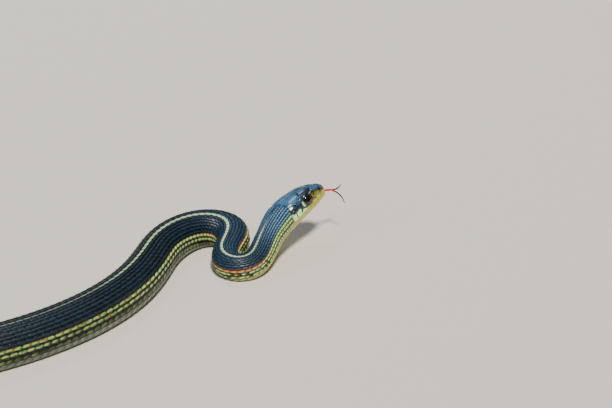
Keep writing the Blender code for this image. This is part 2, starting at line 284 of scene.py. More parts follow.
# A mesh object from points in millimetres and faces with equal numbers of corners
def meshOf(name, points, faces, colours, uv=None):
    mesh = bpy.data.meshes.new(name)
    corners = faces.shape[1]
    mesh.vertices.add(len(points))
    mesh.vertices.foreach_set("co", (points / 1000).astype(np.float32).ravel())
    mesh.loops.add(faces.size)
    mesh.loops.foreach_set("vertex_index", faces.astype(np.int32).ravel())
    mesh.polygons.add(len(faces))
    mesh.polygons.foreach_set("loop_start", np.arange(0, faces.size, corners, dtype=np.int32))
    mesh.polygons.foreach_set("loop_total", np.full(len(faces), corners, np.int32))
    mesh.polygons.foreach_set("use_smooth", np.full(len(faces), True))
    if uv is not None:
        layer = mesh.uv_layers.new(name="OFBake")
        layer.data.foreach_set("uv", uv[faces.ravel()].astype(np.float32).ravel())
    layer = mesh.attributes.new("markings", "FLOAT_COLOR", "POINT")
    layer.data.foreach_set("color", np.c_[colours, np.ones(len(colours))].astype(np.float32).ravel())
    mesh.update()
    mesh.validate()
    item = bpy.data.objects.new(name, mesh)
    bpy.context.scene.collection.objects.link(item)
    return item


# Faces of a grid of rows by columns, closed round the columns or not
def gridFaces(rows, columns, closed):
    i, j = np.meshgrid(np.arange(rows - 1), np.arange(columns if closed else columns - 1), indexing="ij")
    here, beside = i * columns + j, i * columns + (j + 1) % columns
    return np.stack([here, beside, beside + columns, here + columns], -1).reshape(-1, 4)


# The same faces for many grids one after another
def manyGrids(faces, count, size):
    return (faces[None] + (np.arange(count) * size)[:, None, None]).reshape(-1, 4)


strips = 10  # the unwrap is cut into so many strips of equal length
stripLength = course["length"] / strips + 0.001
patchSize = 0.003


def unwrap(s, a):
    strip = np.clip(np.floor(s / stripLength), 0, strips - 1)
    along = (s / stripLength - strip) * 0.98 + 0.01
    across = (strip + 0.04 + 0.92 * ((a + 0.5) % 1.0)) / strips
    return np.stack([along, across], -1)


# The same for scales and plates, each with a small patch of its own round its place
def unwrapPlates(s, a, u, v):
    patch = np.stack(np.broadcast_arrays(u + 0 * v - 0.5, v / 2 + 0 * u), -1) * patchSize
    return unwrap(s, a)[:, None, None, :] + patch


# Markings of the body
bodyLook = {
    "back": "#02050a",
    "backLight": "#0c2434",
    "nape": "#326289",
    # painted highlight for the keels of the dark scales
    "glint": "#8db6da",
    "backStripe": "#aec59a",
    "backStripeCool": "#6d8070",
    "mint": "#d2f898",
    "sideStripe": "#a9d078",
    "sideStripeCool": "#86ac60",
    "flank": "#71874a",
    "flankDark": "#0c0e09",
    "belly": "#7c8b72",
    "bellyNeck": "#c9c46e",
    "bellyEdge": "#2c342b",
    "rust": "#9c2f00",
    "amber": "#93520c",
    "between": "#020303",
}
paints = linearPaints(bodyLook)
# Widths of the rows of scales beside each other, from the middle of the back (half its row) to the belly
rowWidths = [0.5, 1, 1, 1, 1, 1, 1, 1.2, 1.3, 1.9]
rowEdges = np.cumsum([0] + rowWidths) / np.sum(rowWidths)
dorsalShare = 0.332  # share of the way round, each side, that the rows of scales cover
stripeRow, flankRow = 7, 9


# Share of the way round by which the middle of the back is turned to the left within its section
def turnShare(s):
    headRoll = softTable(s, course["headRolls"], 1, soft["headRolls"])
    backRoll = softTable(s, course["backRolls"], 1, soft["body"])
    return (headRoll - backRoll) / 360 * 0.98  # the share isn't quite in step with the angle


def neckShare(s):
    return fade(s, 100, 50)


# How clean the pale rows are: less mottled on the neck and up to the far bend
def cleanShare(s):
    return np.maximum(neckShare(s), 0.8 * fade(s, 152, 30))


# Colour of a row of scales, counted from the middle of the back where the body is widest
def rowColour(row, s, chance):
    neck = neckShare(s)
    dark = mix(paints["back"], paints["backLight"], 0.35 + 0.3 * neck + 0.25 * chance)
    blue = 0.1 * fade(s, 120, 50) + 0.5 * fade(s, 42, 18)
    dark = mix(dark, paints["nape"], blue * (1 + chance / 2))
    clean = cleanShare(s)
    cool = 0.7 * grow(s, 110, 110) + 0.15 * chance
    stripe = mix(paints["backStripe"], paints["backStripeCool"], cool)
    stripe = mix(dark, stripe, grow(s, 24, 13))
    pale = mix(paints["mint"], paints["sideStripe"], grow(s, 130, 40))
    pale = mix(pale, paints["sideStripeCool"], grow(s, 200, 50))
    pale = mix(pale, paints["flankDark"], (0.1 + 0.35 * np.abs(chance)) * (1 - 0.6 * clean))
    flank = mix(paints["flank"], paints["flankDark"], 0.38 + 0.6 * chance)
    flank = mix(flank, paints["mint"], neck * 0.75)
    colour = np.where((row == 0)[..., None], stripe, dark)
    colour = np.where((row >= stripeRow)[..., None], pale, colour)
    return np.where((row >= flankRow)[..., None], flank, colour)


# The dark skin between the scales, in the rows of the back and in those of the side
def skinColour(share, s, backDark, sideDark):
    row = np.searchsorted(rowEdges, np.minimum(share, 0.999) + 1e-9) - 1
    dark = np.where(row >= stripeRow, sideDark, backDark)
    return mix(rowColour(row, s, np.zeros(s.shape)), paints["between"], dark)


# The head shields: kind of colour, one or a mirrored pair, outline of (distance, degrees from the midline)
headPlates = [
    ("snout", 1, [
        (-0.2, -60), (0.6, -48), (0.85, 0), (0.6, 48), (-0.2, 60), (-0.2, 94), (0.8, 104), (-0.3, 112)]),
    ("top", 2, [(0.95, 0), (0.9, 42), (1.7, 54), (3.2, 52), (3.25, 0)]),
    ("top", 2, [(3.25, 0), (3.2, 50), (3.7, 65), (6.1, 65), (6.8, 50), (6.5, 26), (6.5, 0)]),
    ("top", 1, [(6.5, -25), (6.5, 25), (9.6, 20.5), (12.1, 18.5), (14.2, 0), (12.1, -18.5), (9.6, -20.5)]),
    ("brow", 2, [
        (6.8, 27), (6.8, 52), (8.1, 59), (12.0, 59), (13.0, 52), (12.95, 24), (12.1, 19), (9.6, 21)]),
    ("parietal", 2, [
        (14.2, 0), (12.4, 18), (13.0, 26), (13.2, 52), (14.4, 64), (17.4, 60), (20.3, 36), (21.4, 14),
        (20.8, 0)]),
    ("side", 2, [(0.7, 58), (0.8, 86), (1.9, 88), (2.0, 56)]),
    ("side", 2, [(2.0, 56), (1.9, 88), (3.3, 89), (3.3, 58)]),
    ("side", 2, [(3.3, 66), (3.3, 89), (5.6, 90), (5.65, 66)]),
    ("side", 2, [(5.65, 66), (5.6, 90), (7.5, 98), (8.1, 86), (7.9, 62), (7.0, 57)]),
    ("temple", 2, [(12.2, 59), (12.4, 76), (13.9, 76), (14.0, 64), (13.1, 55)]),
    ("lip", 2, [(12.4, 76), (12.0, 93), (13.9, 90), (13.9, 76)]),
    ("temple", 2, [(14.0, 64), (13.9, 89), (17.2, 87), (17.6, 76), (17.2, 62)]),
    ("temple", 2, [(17.2, 61), (17.6, 76), (20.9, 75), (20.7, 54)]),
    ("temple", 2, [(17.6, 76), (17.2, 87), (20.9, 86), (20.9, 75)]),
    ("chin", 2, [(1.0, 180), (0.9, 150), (2.4, 136), (4.0, 152), (4.0, 180)]),
    ("chin", 2, [(4.0, 180), (4.0, 152), (5.0, 140), (8.0, 138), (9.0, 156), (9.0, 180)]),
    ("chin", 2, [(9.0, 180), (9.0, 156), (10.0, 141), (14.0, 140), (16.5, 162), (16.8, 180)]),
]
lipLook = {
    "edges": [0.75, 3.3, 5.7, 8.5, 11.9, 15.8, 19.8, 22.9],
    "tops": [88, 90, 93, 103, 99, 87.5, 86.5],
    "kinds": ["lipFront"] * 4 + ["lip"] * 3,
    "line": 110,  # degrees round where the lips meet
    "lowEdges": [0.5, 2.1, 3.6, 5.4, 7.6, 10.4, 13.8, 17.6, 20.6, 23.2],
    "lowEnd": 134,  # degrees round where the lower lip ends
}
throatLook = {
    "first": 9.6,
    "length": 1.9,
    "edge": 139,  # degrees round of the row beside the lip
    "height": 9.0,  # degrees
    "rows": 5,
    "inRow": 9,
    "chinEnd": 16.5,  # the other rows start behind the chin shields
}


def addLips():
    look = lipLook
    for start, end, top, kind in zip(look["edges"], look["edges"][1:], look["tops"], look["kinds"]):
        headPlates.append((kind, 2, [(start, top), (start, look["line"]), (end, look["line"]), (end, top)]))
    line, lowEnd = look["line"], look["lowEnd"]
    for start, end in zip(look["lowEdges"], look["lowEdges"][1:]):
        headPlates.append(("lowerLip", 2, [(start, line), (start, lowEnd), (end, lowEnd - 2), (end, line)]))


# Small scales of the throat, in slanting rows
def addThroat():
    look = throatLook
    long, high = look["length"], look["height"]
    for k in range(look["inRow"]):
        for n in range(look["rows"]):
            start, t = look["first"] + long * k + (n % 2) * long / 2, look["edge"] + high * n
            if n == 0 or start > look["chinEnd"] - 0.1 * (t - look["edge"]):
                middle = start + long / 2
                corners = [(start, t), (middle, t - high / 2), (start + long, t), (middle, t + high / 2)]
                headPlates.append(("gular", 2, corners))


addLips()
addThroat()
headLook = {
    "grooveDepth": 0.17,
    "grooveWidth": 0.12,
    "swell": 0.10,
    "lipDepth": 0.5,
    "lipWidth": 0.2,
    "columns": 312,
    "rows": 0.115,  # spacing of the rows of the mesh
    "meshEnd": 28.0,
    "jawSetIn": 0.045,  # share of its width by which the lower jaw is narrower than the upper
    "socketDepth": 1.3,
    "socketRim": 0.12,
    "nostril": (1.8, 2.9, 0.85),  # along the head, to the side, above the axis
    "nostrilRadius": 0.4,
    "nostrilDepth": 0.5,
    "top": "#173654",
    "topLight": "#42769d",
    "brow": "#0d1c2a",
    "temple": "#0a141d",
    "olive": "#7f7a38",
    "oliveDark": "#1c1710",
    "lipPale": "#c0ffc0",
    "lipYellow": "#b5b551",
    "chin": "#c6b31c",
    "chinPale": "#d8c840",
    "seam": "#040506",
}
# Share of the dorsal rows from the back, distance at which the shields end there
shieldEnds = [
    (0, 21.0), (0.12, 21.2), (0.3, 20.7), (0.5, 20.9), (0.62, 22.4), (1.0, 22.9), (1.3, 24.5), (1.6, 26.5)]
coatDepth = 0.36  # the skin of the body lies this far under the backs of the scales
reliefHalf = 14  # half way round from which the relief of skin and scales has its full height


def shieldEnd(share):
    table = np.array(shieldEnds)
    return np.interp(np.abs(share), table[:, 0], table[:, 1])


# Distance from points to a closed outline, negative inside
def outlineDistance(points, outline):
    nearest = np.full(len(points), 1e9)
    inside = np.zeros(len(points), bool)
    for a, b in zip(outline, np.roll(outline, -1, 0)):
        edge = b - a
        along = np.clip(((points - a) @ edge) / max(edge @ edge, 1e-9), 0, 1)
        nearest = np.minimum(nearest, np.hypot(*(points - a - along[:, None] * edge).T))
        if abs(edge[1]) > 1e-12:
            crosses = (a[1] > points[:, 1]) != (b[1] > points[:, 1])
            inside ^= crosses & (points[:, 0] < edge[0] * (points[:, 1] - a[1]) / edge[1] + a[0])
    return np.where(inside, -nearest, nearest)


# For each point of the head: the number of its shield, and the distance to the seam round it
def findPlates(surface, s, mm):
    flat = np.stack([s.ravel(), mm.ravel()], -1)
    best = np.full(len(flat), 1e9)
    second = np.full(len(flat), 1e9)
    which = np.zeros(len(flat), int)
    for number, (_, sides, corners) in enumerate(headPlates):
        outline = np.array([(p, surface.wayTo(p, t)) for p, t in corners])
        copies = [outline] if sides == 1 else [outline, outline * [1, -1]]
        for copy in copies:
            distance = outlineDistance(flat, copy)
            closer = distance < best
            second = np.where(closer, best, np.minimum(second, distance))
            which = np.where(closer, number, which)
            best = np.where(closer, distance, best)
    return which.reshape(s.shape), ((second - best) / 2).reshape(s.shape)


def mouthHeight(s):
    return softTable(s, shape["mouth"], 1, soft["mouth"])


eyeLook = {
    "radius": 1.95,
    "thick": 1.06,  # from the middle of the flat ball to its front
    "hole": 1.86,  # radius of the opening in the skin
    "reach": 0.62,  # share of the ball that is made, from its front
    "pupil": 0.5,
    "iris": 0.86,
    "black": "#020203",
    "red": "#0c0505",
    "ring": "#30180c",
}


def makeHead():
    nose = [0.0, 0.03, 0.08, 0.15, 0.24, 0.34, 0.45]  # closer rows where the nose is round
    behind = np.arange(2, headLook["meshEnd"] + 0.01, headLook["rows"])
    rows = np.concatenate([nose, np.arange(0.56, 2, 0.1), behind])
    surface = Surface(rows, headLook["columns"])
    s = np.broadcast_to(rows[:, None], surface.x.shape)
    mm = surface.a[None, :] * 2 * surface.half[:, None]
    which, seam = findPlates(surface, s, mm)
    lip = mouthHeight(s)
    ends = fade(s, shape["mouthEnd"], 1.0)
    below = smooth((lip - surface.z) / 0.5 + 0.5) * fade(s, shape["mouthEnd"] + 1, 3)
    surface.x *= 1 - headLook["jawSetIn"] * below
    points = surface.points()
    normals = normalsOf(points)
    share = (surface.a[None, :] - turnShare(s)) / dorsalShare
    shielded = fade(s, shieldEnd(share) + 0.7, 1.4)
    groove = (1 - smooth(seam / headLook["grooveWidth"])) * shielded
    line = (1 - smooth(np.abs(surface.z - lip) / headLook["lipWidth"])) * ends * (surface.t > 60)
    raised = -headLook["grooveDepth"] * groove + headLook["swell"] * smooth(seam / 0.8) * shielded
    raised -= headLook["lipDepth"] * line + coatDepth * smooth((s - shieldEnd(share) + 2.2) / 2.9)
    points += normals * raised[..., None]
    holes = np.zeros(s.shape)  # how black the skin is: painted shade in the eye sockets and nostril pits, and a dark ring round each eye
    for side in (-1, 1):
        axis = eyeAxis(side)
        away = points - eyeCentre(side) - place
        depth = away @ axis
        ring = np.linalg.norm(away - depth[..., None] * axis, axis=-1)
        near = (depth > -1) & (ring < 3)
        hole = np.where(near, 1 - smooth((ring - eyeLook["hole"] + 0.16) / 0.2), 0)
        rim = np.where(near, np.exp(-((ring - eyeLook["hole"] - 0.22) / 0.2) ** 2), 0)
        points += axis * (headLook["socketRim"] * rim - headLook["socketDepth"] * hole)[..., None]
        along, aside, high = headLook["nostril"]
        spot = spinePoint(along, side * aside, high) + place
        pit = np.exp(-(np.linalg.norm(points - spot, axis=-1) / headLook["nostrilRadius"]) ** 4)
        points -= normals * (headLook["nostrilDepth"] * pit)[..., None]
        lids = np.where(near, 0.85 * fade(ring, eyeLook["hole"] + 0.95, 0.5), 0)
        # painted shade in the socket and the nostril pit, and the dark ring round the eye
        holes = np.maximum(holes, np.maximum(lids, np.maximum(hole, pit)))
    colours = headColours(points, s, surface, which, seam, line, holes, shielded, share)
    return rows, surface, points, colours


def headColours(points, s, surface, which, seam, line, holes, shielded, share):
    look = linearPaints(headLook)
    groove = (1 - smooth(seam / headLook["grooveWidth"])) * shielded
    fine, broad = waves(points, 1.1, 3), waves(points, 4.0, 4)
    mottle = smooth(waves(points, 0.9, 5) * 0.9 + waves(points, 2.2, 6) * 0.6 + 0.6)
    kinds = np.array([kind for kind, _, _ in headPlates])[which]
    aboveLip = surface.z - mouthHeight(s)
    top = mix(look["top"], look["topLight"], 0.35 + 0.2 * broad + 0.2 * fine)
    front = mix(look["lipYellow"], look["oliveDark"], mottle * 0.55 * grow(aboveLip, 0.5, 0.9))
    lowLip = 0.4 * fade(aboveLip, 0.9, 0.9)
    kindColours = {
        "top": top,
        "parietal": mix(look["top"], look["topLight"], 0.5 + 0.2 * broad + 0.2 * fine),
        "brow": mix(look["brow"], look["top"], 0.5 + 0.3 * broad),
        "side": mix(look["olive"], look["oliveDark"], 0.1 + mottle * 0.85),
        "snout": mix(look["olive"], look["oliveDark"], 0.2 + mottle * 0.6),
        "temple": mix(look["topLight"], look["temple"], 0.7 + 0.2 * mottle + 0.1 * broad),
        "lip": mix(look["lipPale"], look["lipYellow"], 0.05 + 0.15 * fine + lowLip),
        "lipFront": front,
        "lowerLip": mix(look["chin"], look["chinPale"], 0.3 + 0.35 * broad),
        "chin": mix(look["chinPale"], look["chin"], 0.3 + 0.3 * broad),
        "gular": mix(look["chinPale"], look["chin"], 0.4 + 0.3 * fine),
    }
    colour = np.zeros(points.shape)
    for kind, paint in kindColours.items():
        colour = np.where((kinds == kind)[..., None], paint, colour)
    pale = np.isin(kinds, ["chin", "gular", "lowerLip"])
    colour = mix(colour, look["seam"], groove * np.where(pale, 0.3, 0.9))
    # black wedges between the pale lip scales
    wedge = fade(seam, 0.48, 0.16) * grow(aboveLip, 0.3, 1.0) * (kinds == "lip")
    colour = mix(colour, look["seam"], wedge * 0.92)
    # black along the tops of the pale lip scales, behind the eye and along the edge of the snout
    ear = grow(s, 12, 1.5) * grow(surface.t, 75, 6) * (kinds == "temple")
    canthus = fade(s, 8.2, 1.0) * grow(s, 0.9, 0.6)
    canthus = canthus * np.exp(-((surface.t - 68 - 2 * waves(points, 1.6, 9)) / 6.0) ** 2)
    colour = mix(colour, look["seam"], np.maximum(ear * 0.85, canthus * 0.85))
    # the dark line of the mouth, and the painted shade of the openings
    colour = mix(colour, look["seam"], line * 0.85 + holes)
    rear = skinColour(np.abs(share), s, 0.75, 0.93)
    rear = np.where((np.abs(share) > 1)[..., None], paints["bellyNeck"], rear)
    return mix(rear, colour, shielded)


# Skin: the head with its shields, and a plain tube under the scales of the rest
def makeSkin():
    rows, surface, points, colours = makeHead()
    columns = points.shape[1] - 1
    headS = np.broadcast_to(rows[:, None], points[:, :-1].shape[:2])
    headA = np.broadcast_to(surface.a[None, :-1], headS.shape)
    tubeRows = np.concatenate([np.arange(26.5, 130, 1.0), np.arange(130, 648, 2.0), [648, 649.2, 649.3]])
    tubeColumns = 56
    tube = Surface(tubeRows, tubeColumns)
    tubePoints = tube.points()
    inset = coatDepth * np.clip(tube.half[:, None] / reliefHalf, 0.25, 1)
    tubePoints = (tubePoints - normalsOf(tubePoints) * inset[..., None])[:, :-1]
    tubePoints[-1] = tubePoints[-1].mean(0)
    tubeS = np.broadcast_to(tubeRows[:, None], tubePoints.shape[:2])
    tubeA = np.broadcast_to(tube.a[None, :-1], tubeS.shape)
    share = np.abs(((tubeA - turnShare(tubeS) + 0.5) % 1) - 0.5) / dorsalShare
    under = skinColour(share, tubeS, 0.8, 0.96)
    red = grow(share, 0.52, 0.06) * fade(share, 0.78, 0.08) * fade(tubeS, 170, 80)
    rust = mix(paints["rust"], paints["amber"], grow(tubeS, 100, 60))
    under = mix(under, rust, red * grow(tubeS, 34, 12) * (0.75 + 0.35 * waves(tubePoints, 5, 8)))
    under = np.where((share > 1)[..., None], mix(paints["belly"], paints["bellyEdge"], 0.5), under)
    headFaces = gridFaces(len(rows), columns, True)
    tubeFaces = gridFaces(len(tubeRows), tubeColumns, True) + columns * len(rows)
    item = meshOf(
        "skin",
        np.concatenate([points[:, :-1].reshape(-1, 3), tubePoints.reshape(-1, 3)]),
        np.concatenate([headFaces, tubeFaces]),
        np.concatenate([colours[:, :-1].reshape(-1, 3), under.reshape(-1, 3)]),
        np.concatenate([unwrap(headS.ravel(), headA.ravel()), unwrap(tubeS.ravel(), tubeA.ravel())]))
    say(f"skin of {2 * len(item.data.polygons)} triangles")
    return item


tailTip = course["length"] - 0.5  # no scale reaches past this
scaleLook = {
    "pitchNarrow": 1.55,  # spacing along the body where its half width is narrowHalf
    "pitchWide": 3.3,  # and where it is wider by halfGrowth
    "narrowHalf": 5.3,
    "halfGrowth": 3.4,
    "pitchLeast": 1.1,
    "napeShorter": 0.28,  # share by which scales are shorter just behind the head
    "overlap": 1.42,
    # width against the width of the row, by the row: the pale rows are narrower
    "widths": [1.25, 1.28, 1.28, 1.28, 1.28, 1.28, 1.24, 1.04, 0.96, 0.94],
    "stripeWide": (0.8, 0.04),  # share of its scales that the back's stripe fills, near the head and far
    "neckGaps": 0.13,  # share of their width that the pale rows lose on the neck
    "keel": 0.1,
    "keelWidth": 0.13,
    "lift": 0.29,
    "droop": 0.09,  # how far the sides of a scale bend down
    "hidden": 0.22,  # share of a scale ahead of its place
    "along": 11,
    "across": 9,
    # rows of scales by part of the body: from, to, how many
    "bands": [(20.0, 372, 19), (372, 494, 17), (494, 528, 13), (528, 576, 9), (576, 622, 7), (622, 649, 5)],
    "pieces": [0, 75, 165, 300, 430, 540, 651],  # the coat is divided at these distances
}


def pitchAt(s):
    look = scaleLook
    radius = softTable(s, shape["radii"], 1, soft["body"])
    growth = look["pitchWide"] - look["pitchNarrow"]
    wide = look["pitchNarrow"] + growth * (radius - look["narrowHalf"]) / look["halfGrowth"]
    return np.maximum(wide * (1 - look["napeShorter"] * fade(s, 40, 16)), look["pitchLeast"])


# Distances of the rows of scales from the snout, down to the tail tip
def rowSpots(start):
    spots = [start]
    while spots[-1] < scaleLook["bands"][-1][1]:
        spots.append(spots[-1] + float(pitchAt(np.array(spots[-1]))))
    return np.array(spots)


# One line per scale: distance, share of the dorsal rows from the back, width, spacing, row for its colour
def scaleSeeds():
    spots = rowSpots(scaleLook["bands"][0][0])
    seeds = []
    for start, end, count in scaleLook["bands"]:
        half = count // 2
        widths = rowWidths[:1] + rowWidths[len(rowWidths) - half:]
        edges = np.cumsum([0] + widths) / np.sum(widths)
        inside = spots[(spots >= start) & (spots < end)]
        pitches = np.interp(inside, spots[:-1], np.diff(spots))
        for row in range(-half, half + 1):
            k = abs(row)
            middle = (edges[k] + edges[k + 1]) / 2 * np.sign(row)
            width = (edges[k + 1] - edges[k]) * (1 if k else 2)
            role = max(flankRow - half + k, 1) if k else 0
            if half <= 4 and role == stripeRow:  # the thin tail has one pale row less
                role = stripeRow - 1
            for s, pitch in zip(inside + 0.5 * (k % 2) * pitches, pitches):
                if s >= shieldEnd(middle):
                    seeds.append((s, middle, width, pitch, role))
    return np.array(seeds)


# Coordinates within a scale from root to tip and from side to side, with a turned-down rim all round
def scaleGrid(along, across):
    u = np.concatenate([[0], np.linspace(0, 1, along - 2), [1]])[None, :, None]
    v = np.concatenate([[-1], np.linspace(-1, 1, across - 2), [1]])[None, None, :]
    rim = np.ones((1, along, across), bool)
    rim[0, 1:-1, 1:-1] = False
    return u, v, rim


def makeScales(reader):
    look = scaleLook
    seeds = scaleSeeds()
    s0, middle, width, pitch, role = seeds.T[..., None, None]
    chance = rng.normal(size=len(seeds)).clip(-1.6, 1.6) * 0.5  # from -0.8 to 0.8, mostly near 0
    chance = chance[:, None, None]
    u, v, rim = scaleGrid(look["along"], look["across"])
    tip = np.clip(1 - (np.clip(u - 0.5, 0, 1) / 0.5) ** 2.6, 0, 1) ** 0.62
    outline = np.where(u < 0.5, 0.82 + 0.18 * np.sin(math.pi * u), tip)
    s = np.minimum(s0 + (u - look["hidden"]) * pitch * look["overlap"] + 0 * v, tailTip)
    wide = np.array(look["widths"])[role.astype(int)]
    wide = wide * (1 - look["neckGaps"] * neckShare(s0) * (role >= stripeRow))
    share = middle + v * outline * width * wide / 2
    keeled = fade(np.abs(middle), 0.97, 0.1)  # the lowest row has weaker keels
    keel = look["keel"] * np.exp(-(v / look["keelWidth"]) ** 2)
    keel = keel * smooth(u / 0.2) * fade(u, 1.02, 0.25) * keeled
    raised = -coatDepth + look["lift"] * u ** 0.8 - look["droop"] * np.abs(v) ** 2.2 + keel
    raised = np.where(rim, np.minimum(raised, -0.3 + 0.13 * u) - 0.08, np.minimum(raised, -0.01))
    raised = raised * np.clip(reader.halfAt(s) / reliefHalf, 0.35, 1)
    points = reader.at(s, share * dorsalShare + turnShare(s), raised)
    colour = scaleColours(seeds, u, v, chance)
    rootA = seeds[:, 1] * dorsalShare + turnShare(seeds[:, 0])
    uv = unwrapPlates(seeds[:, 0], rootA, u, v)
    faces = gridFaces(look["along"], look["across"], False)
    pieces = []
    for start, end in zip(look["pieces"], look["pieces"][1:]):
        chosen = np.where((seeds[:, 0] >= start) & (seeds[:, 0] < end))[0]
        item = meshOf(
            f"scales_{len(pieces) + 1}", points[chosen].reshape(-1, 3),
            manyGrids(faces, len(chosen), look["along"] * look["across"]),
            colour[chosen].reshape(-1, 3), uv[chosen].reshape(-1, 2))
        pieces.append(item)
        say(f"{item.name}: {len(chosen)} scales, {2 * len(item.data.polygons)} triangles")
    return pieces


def scaleColours(seeds, u, v, chance):
    s0, middle, _, _, role = seeds.T[..., None, None]
    s = s0 + 0 * u * v
    rows = role + 0 * s
    neck, clean = neckShare(s0), cleanShare(s0)
    colour = rowColour(rows, s, chance)
    pale = (rows == 0) | (rows >= stripeRow)
    near, far = scaleLook["stripeWide"]
    stripe = near + (far - near) * grow(s0, 80, 110)
    outside = grow(np.abs(v), stripe, 0.3) * (rows == 0)
    colour = mix(colour, rowColour(1 + 0 * rows, s, chance), outside)
    # dark mottling of the pale scales
    speck = smooth((np.sin(7 * u + 40 * chance) * np.sin(5 * v + 60 * chance) - 0.15) / 0.3)
    colour = mix(colour, paints["flankDark"], speck * (rows >= stripeRow) * (0.65 - 0.45 * clean))
    # rims, tips and roots are darkened: partly the black skin between the scales, partly painted shade
    # where they overlap; the keels get a painted highlight
    side = rows >= stripeRow
    shade = grow(np.abs(v), 0.5, 0.42) + grow(u, 0.9, 0.1) * 0.6 + fade(u, 0.36, 0.3)
    shade = shade + (grow(np.abs(v), 0.3, 0.5) + fade(u, 0.5, 0.3)) * side * (1 - 0.4 * clean)
    deepest = np.where(side, 0.97 - 0.1 * neck, np.where(pale, 0.5, 0.9))
    colour = mix(colour, paints["between"], np.clip(shade, 0, 1) * deepest)
    # painted highlight along each keel of the dark scales, brightest on the nape
    ridge = np.exp(-(v / 0.12) ** 2) * smooth(u / 0.4)
    glint = np.where(pale, 0, 0.07 + 0.6 * fade(s0, 42, 18))
    colour = mix(colour, paints["glint"], glint * ridge)
    # rust on the roots of the side stripe and round its scales on the neck
    fleck = (rows == stripeRow) | ((rows == stripeRow + 1) & (chance > 0.5))
    sideShare = np.where(middle > 0, 0.5, 1)  # the left side has less of it
    some = (chance > 0) * 0.65 * grow(s0, 34, 12) * sideShare
    rust = mix(paints["rust"], paints["amber"], grow(s0, 100, 60) + 0 * u)
    colour = mix(colour, rust, fleck * fade(u, 0.5, 0.3) * some)
    stretch = fade(s0, 104, 30) * grow(s0, 36, 14)
    down = np.sign(middle) * v  # across the scale, 1 at its edge towards the belly
    upper = fade(down, 0.15, 0.4) + fade(u, 0.5, 0.25)
    line = fleck * stretch * sideShare * np.clip(upper, 0, 1)
    colour = mix(colour, paints["rust"], line * (0.75 + 0.3 * chance))
    lower = grow(down, 0.35, 0.4) * (rows == stripeRow - 1)
    colour = mix(colour, paints["rust"], lower * stretch * (0.55 + 0.5 * chance))
    # black skin colour on the roots of some lower scales of the neck
    net = smooth((chance + 0.15) / 0.3) * grow(s0, 32, 10) * fade(s0, 108, 30)
    net = net * fade(u, 0.8, 0.25) * (rows > stripeRow)
    colour = mix(colour, paints["between"], net * 0.92)
    # dark roots on about a third of these rows all along the body
    dark = (rows > stripeRow) & (np.sin(s0 * 2.1 + middle * 37) > 0.35)
    return mix(colour, paints["flankDark"], dark * fade(u, 0.7, 0.3) * 0.85 * (1 - 0.4 * neck))


bellyLook = {
    "first": 27.5,
    "vent": 497,  # behind this the plates are in pairs
    "wide": 1.04,  # against the width of the belly, so that the edges reach under the scales
    "overlap": 1.5,
    "hidden": 0.45,
    "bow": 0.28,  # how far the rear edge of a plate is bowed
    "sunk": 0.28,
    "lift": 0.22,
    "along": 8,
    "across": 26,
}


def makeBelly(reader):
    look = bellyLook
    spots = rowSpots(look["first"])
    half = 0.5 - dorsalShare
    wide = look["wide"] * half
    seeds = []
    for s, after in zip(spots, spots[1:]):
        if s < look["vent"]:
            seeds.append((s, 0.0, 2 * wide, after - s))
        else:
            seeds.append((s, -half / 2, wide, after - s))
            seeds.append(((s + after) / 2, half / 2, wide, after - s))
    seeds = np.array(seeds)
    s0, middle, width, pitch = seeds.T[..., None, None]
    u, v, rim = scaleGrid(look["along"], look["across"])
    bow = look["bow"] * (1 - np.abs(v) ** 2.5)
    s = np.minimum(s0 + (u - look["hidden"] + bow) * pitch * look["overlap"], tailTip - 0.1)
    outline = np.where(u < 0.6, 1.0, 1 - 0.10 * ((u - 0.6) / 0.4) ** 2)
    a = 0.5 + middle + v * outline * width / 2 + turnShare(s)
    raised = look["lift"] * u - look["sunk"] + 0 * v
    raised = np.where(rim, raised - 0.2, raised) * np.clip(reader.halfAt(s) / reliefHalf, 0.35, 1)
    points = reader.at(s, a, raised)
    neck = fade(s, 130, 90)
    edge = grow(np.abs(v), 0.55, 0.4)
    colour = mix(paints["belly"], paints["bellyNeck"], neck)
    dark = 0.8 * edge * (1 - 0.5 * neck) + 0.5 * fade(u, 0.35, 0.3)
    colour = mix(colour, paints["bellyEdge"], dark)
    spot = np.exp(-((np.abs(v) - 0.8) / 0.09) ** 2) * fade(u, 0.55, 0.25)
    colour = mix(colour, paints["between"], spot * 0.8 + 0 * s)
    uv = unwrapPlates(seeds[:, 0], 0.5 + seeds[:, 1], u, v)
    faces = gridFaces(look["along"], look["across"], False)
    faces = manyGrids(faces, len(seeds), look["along"] * look["across"])
    item = meshOf("belly_plates", points.reshape(-1, 3), faces, colour.reshape(-1, 3), uv.reshape(-1, 2))
    say(f"belly: {len(seeds)} plates, {2 * len(faces)} triangles")
    return item


def makeEye(side):
    rings, spokes = 40, 64
    t = np.linspace(0.0, math.pi * eyeLook["reach"], rings)
    p = np.linspace(0, 2 * math.pi, spokes, endpoint=False)
    out = eyeAxis(side)
    across = unit(np.cross(out, [0, 0, 1.0]))
    over = np.cross(across, out)
    radial = across * np.cos(p)[None, :, None] + over * np.sin(p)[None, :, None]
    points = eyeCentre(side) + place + out * eyeLook["thick"] * np.cos(t)[:, None, None]
    points = points + radial * eyeLook["radius"] * np.sin(t)[:, None, None]
    share = np.broadcast_to(np.sin(t)[:, None], (rings, spokes))
    rays = 0.5 + 0.5 * np.sin(p * 23 + 2 * np.sin(p * 7))[None, :]
    look = linearPaints(eyeLook)
    ring = np.exp(-((share - eyeLook["pupil"] - 0.04) / 0.045) ** 2)
    iris = mix(look["red"], look["ring"], 0.18 * rays + 0.75 * ring)
    colour = mix(look["black"], iris, grow(share, eyeLook["pupil"], 0.04))
    edge = np.maximum(grow(share, eyeLook["iris"], 0.08), (t > math.pi / 2)[:, None])
    colour = mix(colour, look["black"], edge)
    name = "eye_look_left" if side > 0 else "eye_look_right"
    return meshOf(name, points.reshape(-1, 3), gridFaces(rings, spokes, True), colour.reshape(-1, 3))


